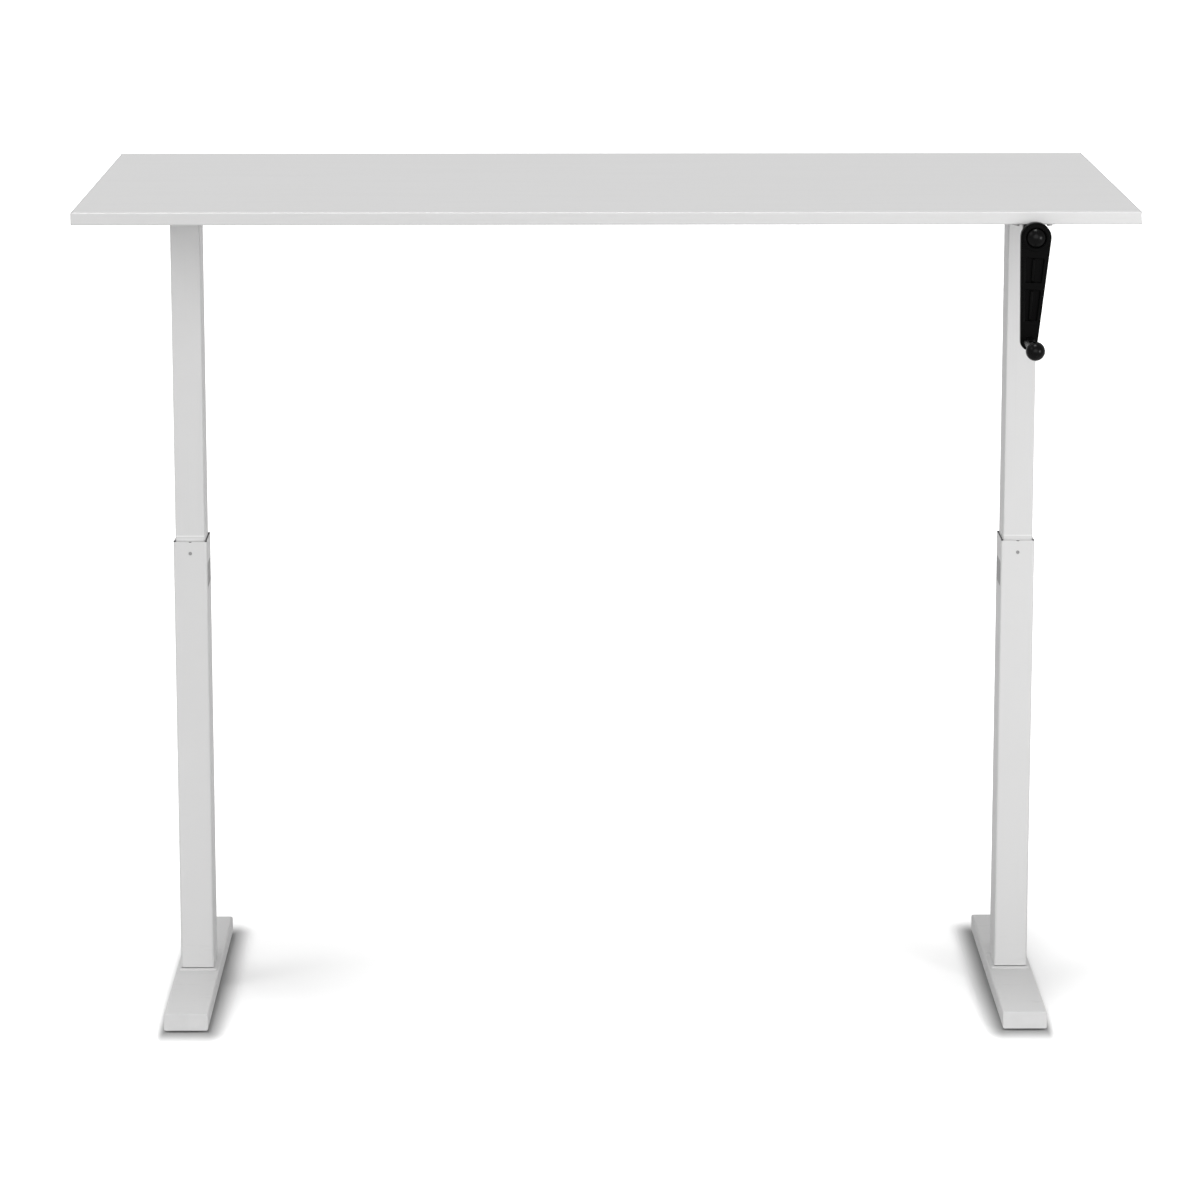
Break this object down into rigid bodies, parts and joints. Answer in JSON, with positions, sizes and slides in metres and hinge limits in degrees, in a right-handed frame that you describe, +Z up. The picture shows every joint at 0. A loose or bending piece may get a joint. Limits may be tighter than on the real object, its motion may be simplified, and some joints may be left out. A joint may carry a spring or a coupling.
{
  "type": "height adjustable standing desk",
  "caption": "Rectangular worktop on telescopic columns with flat feet, wound up and down by a front hand crank through a cross shaft and screw spindles.",
  "frame": {"origin": "on the floor, under the middle of the bounding box, which includes the crank", "axes": "+X to the desk's right as its user sits at it, +Y from the user to the back, +Z up"},
  "size_m": [1.5, 0.865, 1.23],
  "materials": {
    "white_steel": "fine textured white powder coat",
    "white_board": "white melamine faced particle board, satin",
    "white_edge": "satin white plastic edge strip",
    "white_cap": "satin white moulded plastic",
    "black_plastic": "semi-gloss black moulded plastic",
    "black_gloss": "glossy black moulded plastic",
    "grey_plastic": "matt grey moulded plastic",
    "nut_plastic": "natural acetal",
    "bare_steel": "zinc plated",
    "cast_metal": "as cast, oiled"
  },
  "bodies": {
    "base": {"outer_column_left": "white_steel", "outer_column_right": "white_steel", "upper_glides": "black_plastic", "glide_windows": "grey_plastic", "base_plates": "white_steel", "foot_left": "white_steel", "foot_right": "white_steel", "foot_caps": "white_cap", "foot_pads": "black_plastic", "nut_tubes": "bare_steel", "lift_nuts": "nut_plastic"},
    "top": {"worktop": "white_board", "edge_strip": "white_edge", "bracket_left": "white_steel", "bracket_right": "white_steel", "rail_front": "white_steel", "rail_back": "white_steel", "gearbox_left": "cast_metal", "gearbox_right": "cast_metal", "inner_column_left": "white_steel", "inner_column_right": "white_steel", "lower_glides": "black_plastic", "rod_bearing": "black_plastic", "worktop_screws": "bare_steel", "rail_bolts": "bare_steel"},
    "spindle_left": {"spindle_left": "bare_steel", "wheel_left": "cast_metal"},
    "spindle_right": {"spindle_right": "bare_steel", "wheel_right": "cast_metal"},
    "cross_shaft": {"cross_shaft": "bare_steel", "shaft_pinions": "cast_metal"},
    "idler": {"idler_shaft": "bare_steel", "idler_gears": "cast_metal"},
    "crank": {"crank_rod": "bare_steel", "crank_gear": "cast_metal", "crank_arm": "black_plastic", "crank_screw": "bare_steel", "crank_cap": "black_gloss", "grip_pin": "bare_steel"},
    "grip": {"grip": "black_gloss"}
  },
  "joints": [
    {"name": "lift", "type": "slide", "parent": "base", "child": "top", "axis": [0, 0, 1], "range_m": [-0.476, 0]},
    {"name": "crank_turn", "type": "hinge", "parent": "top", "child": "crank", "pos_m": [0.6, -0.3205, 1.195], "axis": [0, 1, 0], "range_deg": [-42840, 0]},
    {"name": "idler_turn", "type": "hinge", "parent": "top", "child": "idler", "pos_m": [0.619, 0.0175, 1.195], "axis": [0, 1, 0], "range_deg": [0, 42840]},
    {"name": "cross_shaft_turn", "type": "hinge", "parent": "top", "child": "cross_shaft", "pos_m": [0, 0.0575, 1.195], "axis": [1, 0, 0], "range_deg": [0, 42840]},
    {"name": "spindle_left_turn", "type": "hinge", "parent": "top", "child": "spindle_left", "pos_m": [-0.619, 0.0575, 1.195], "axis": [0, 0, 1], "range_deg": [0, 21420]},
    {"name": "spindle_right_turn", "type": "hinge", "parent": "top", "child": "spindle_right", "pos_m": [0.619, 0.0575, 1.195], "axis": [0, 0, 1], "range_deg": [-21420, 0]},
    {"name": "grip_spin", "type": "hinge", "parent": "crank", "child": "grip", "pos_m": [0.59256, -0.3345, 1.04819], "axis": [0, 1, 0], "continuous": true}
  ],
  "couplings": [
    {"joint": "lift", "follows": "crank_turn", "m_per_rad": 0.00063662},
    {"joint": "idler_turn", "follows": "crank_turn", "ratio": -1},
    {"joint": "cross_shaft_turn", "follows": "crank_turn", "ratio": -1},
    {"joint": "spindle_left_turn", "follows": "crank_turn", "ratio": -0.5},
    {"joint": "spindle_right_turn", "follows": "crank_turn", "ratio": 0.5}
  ]
}
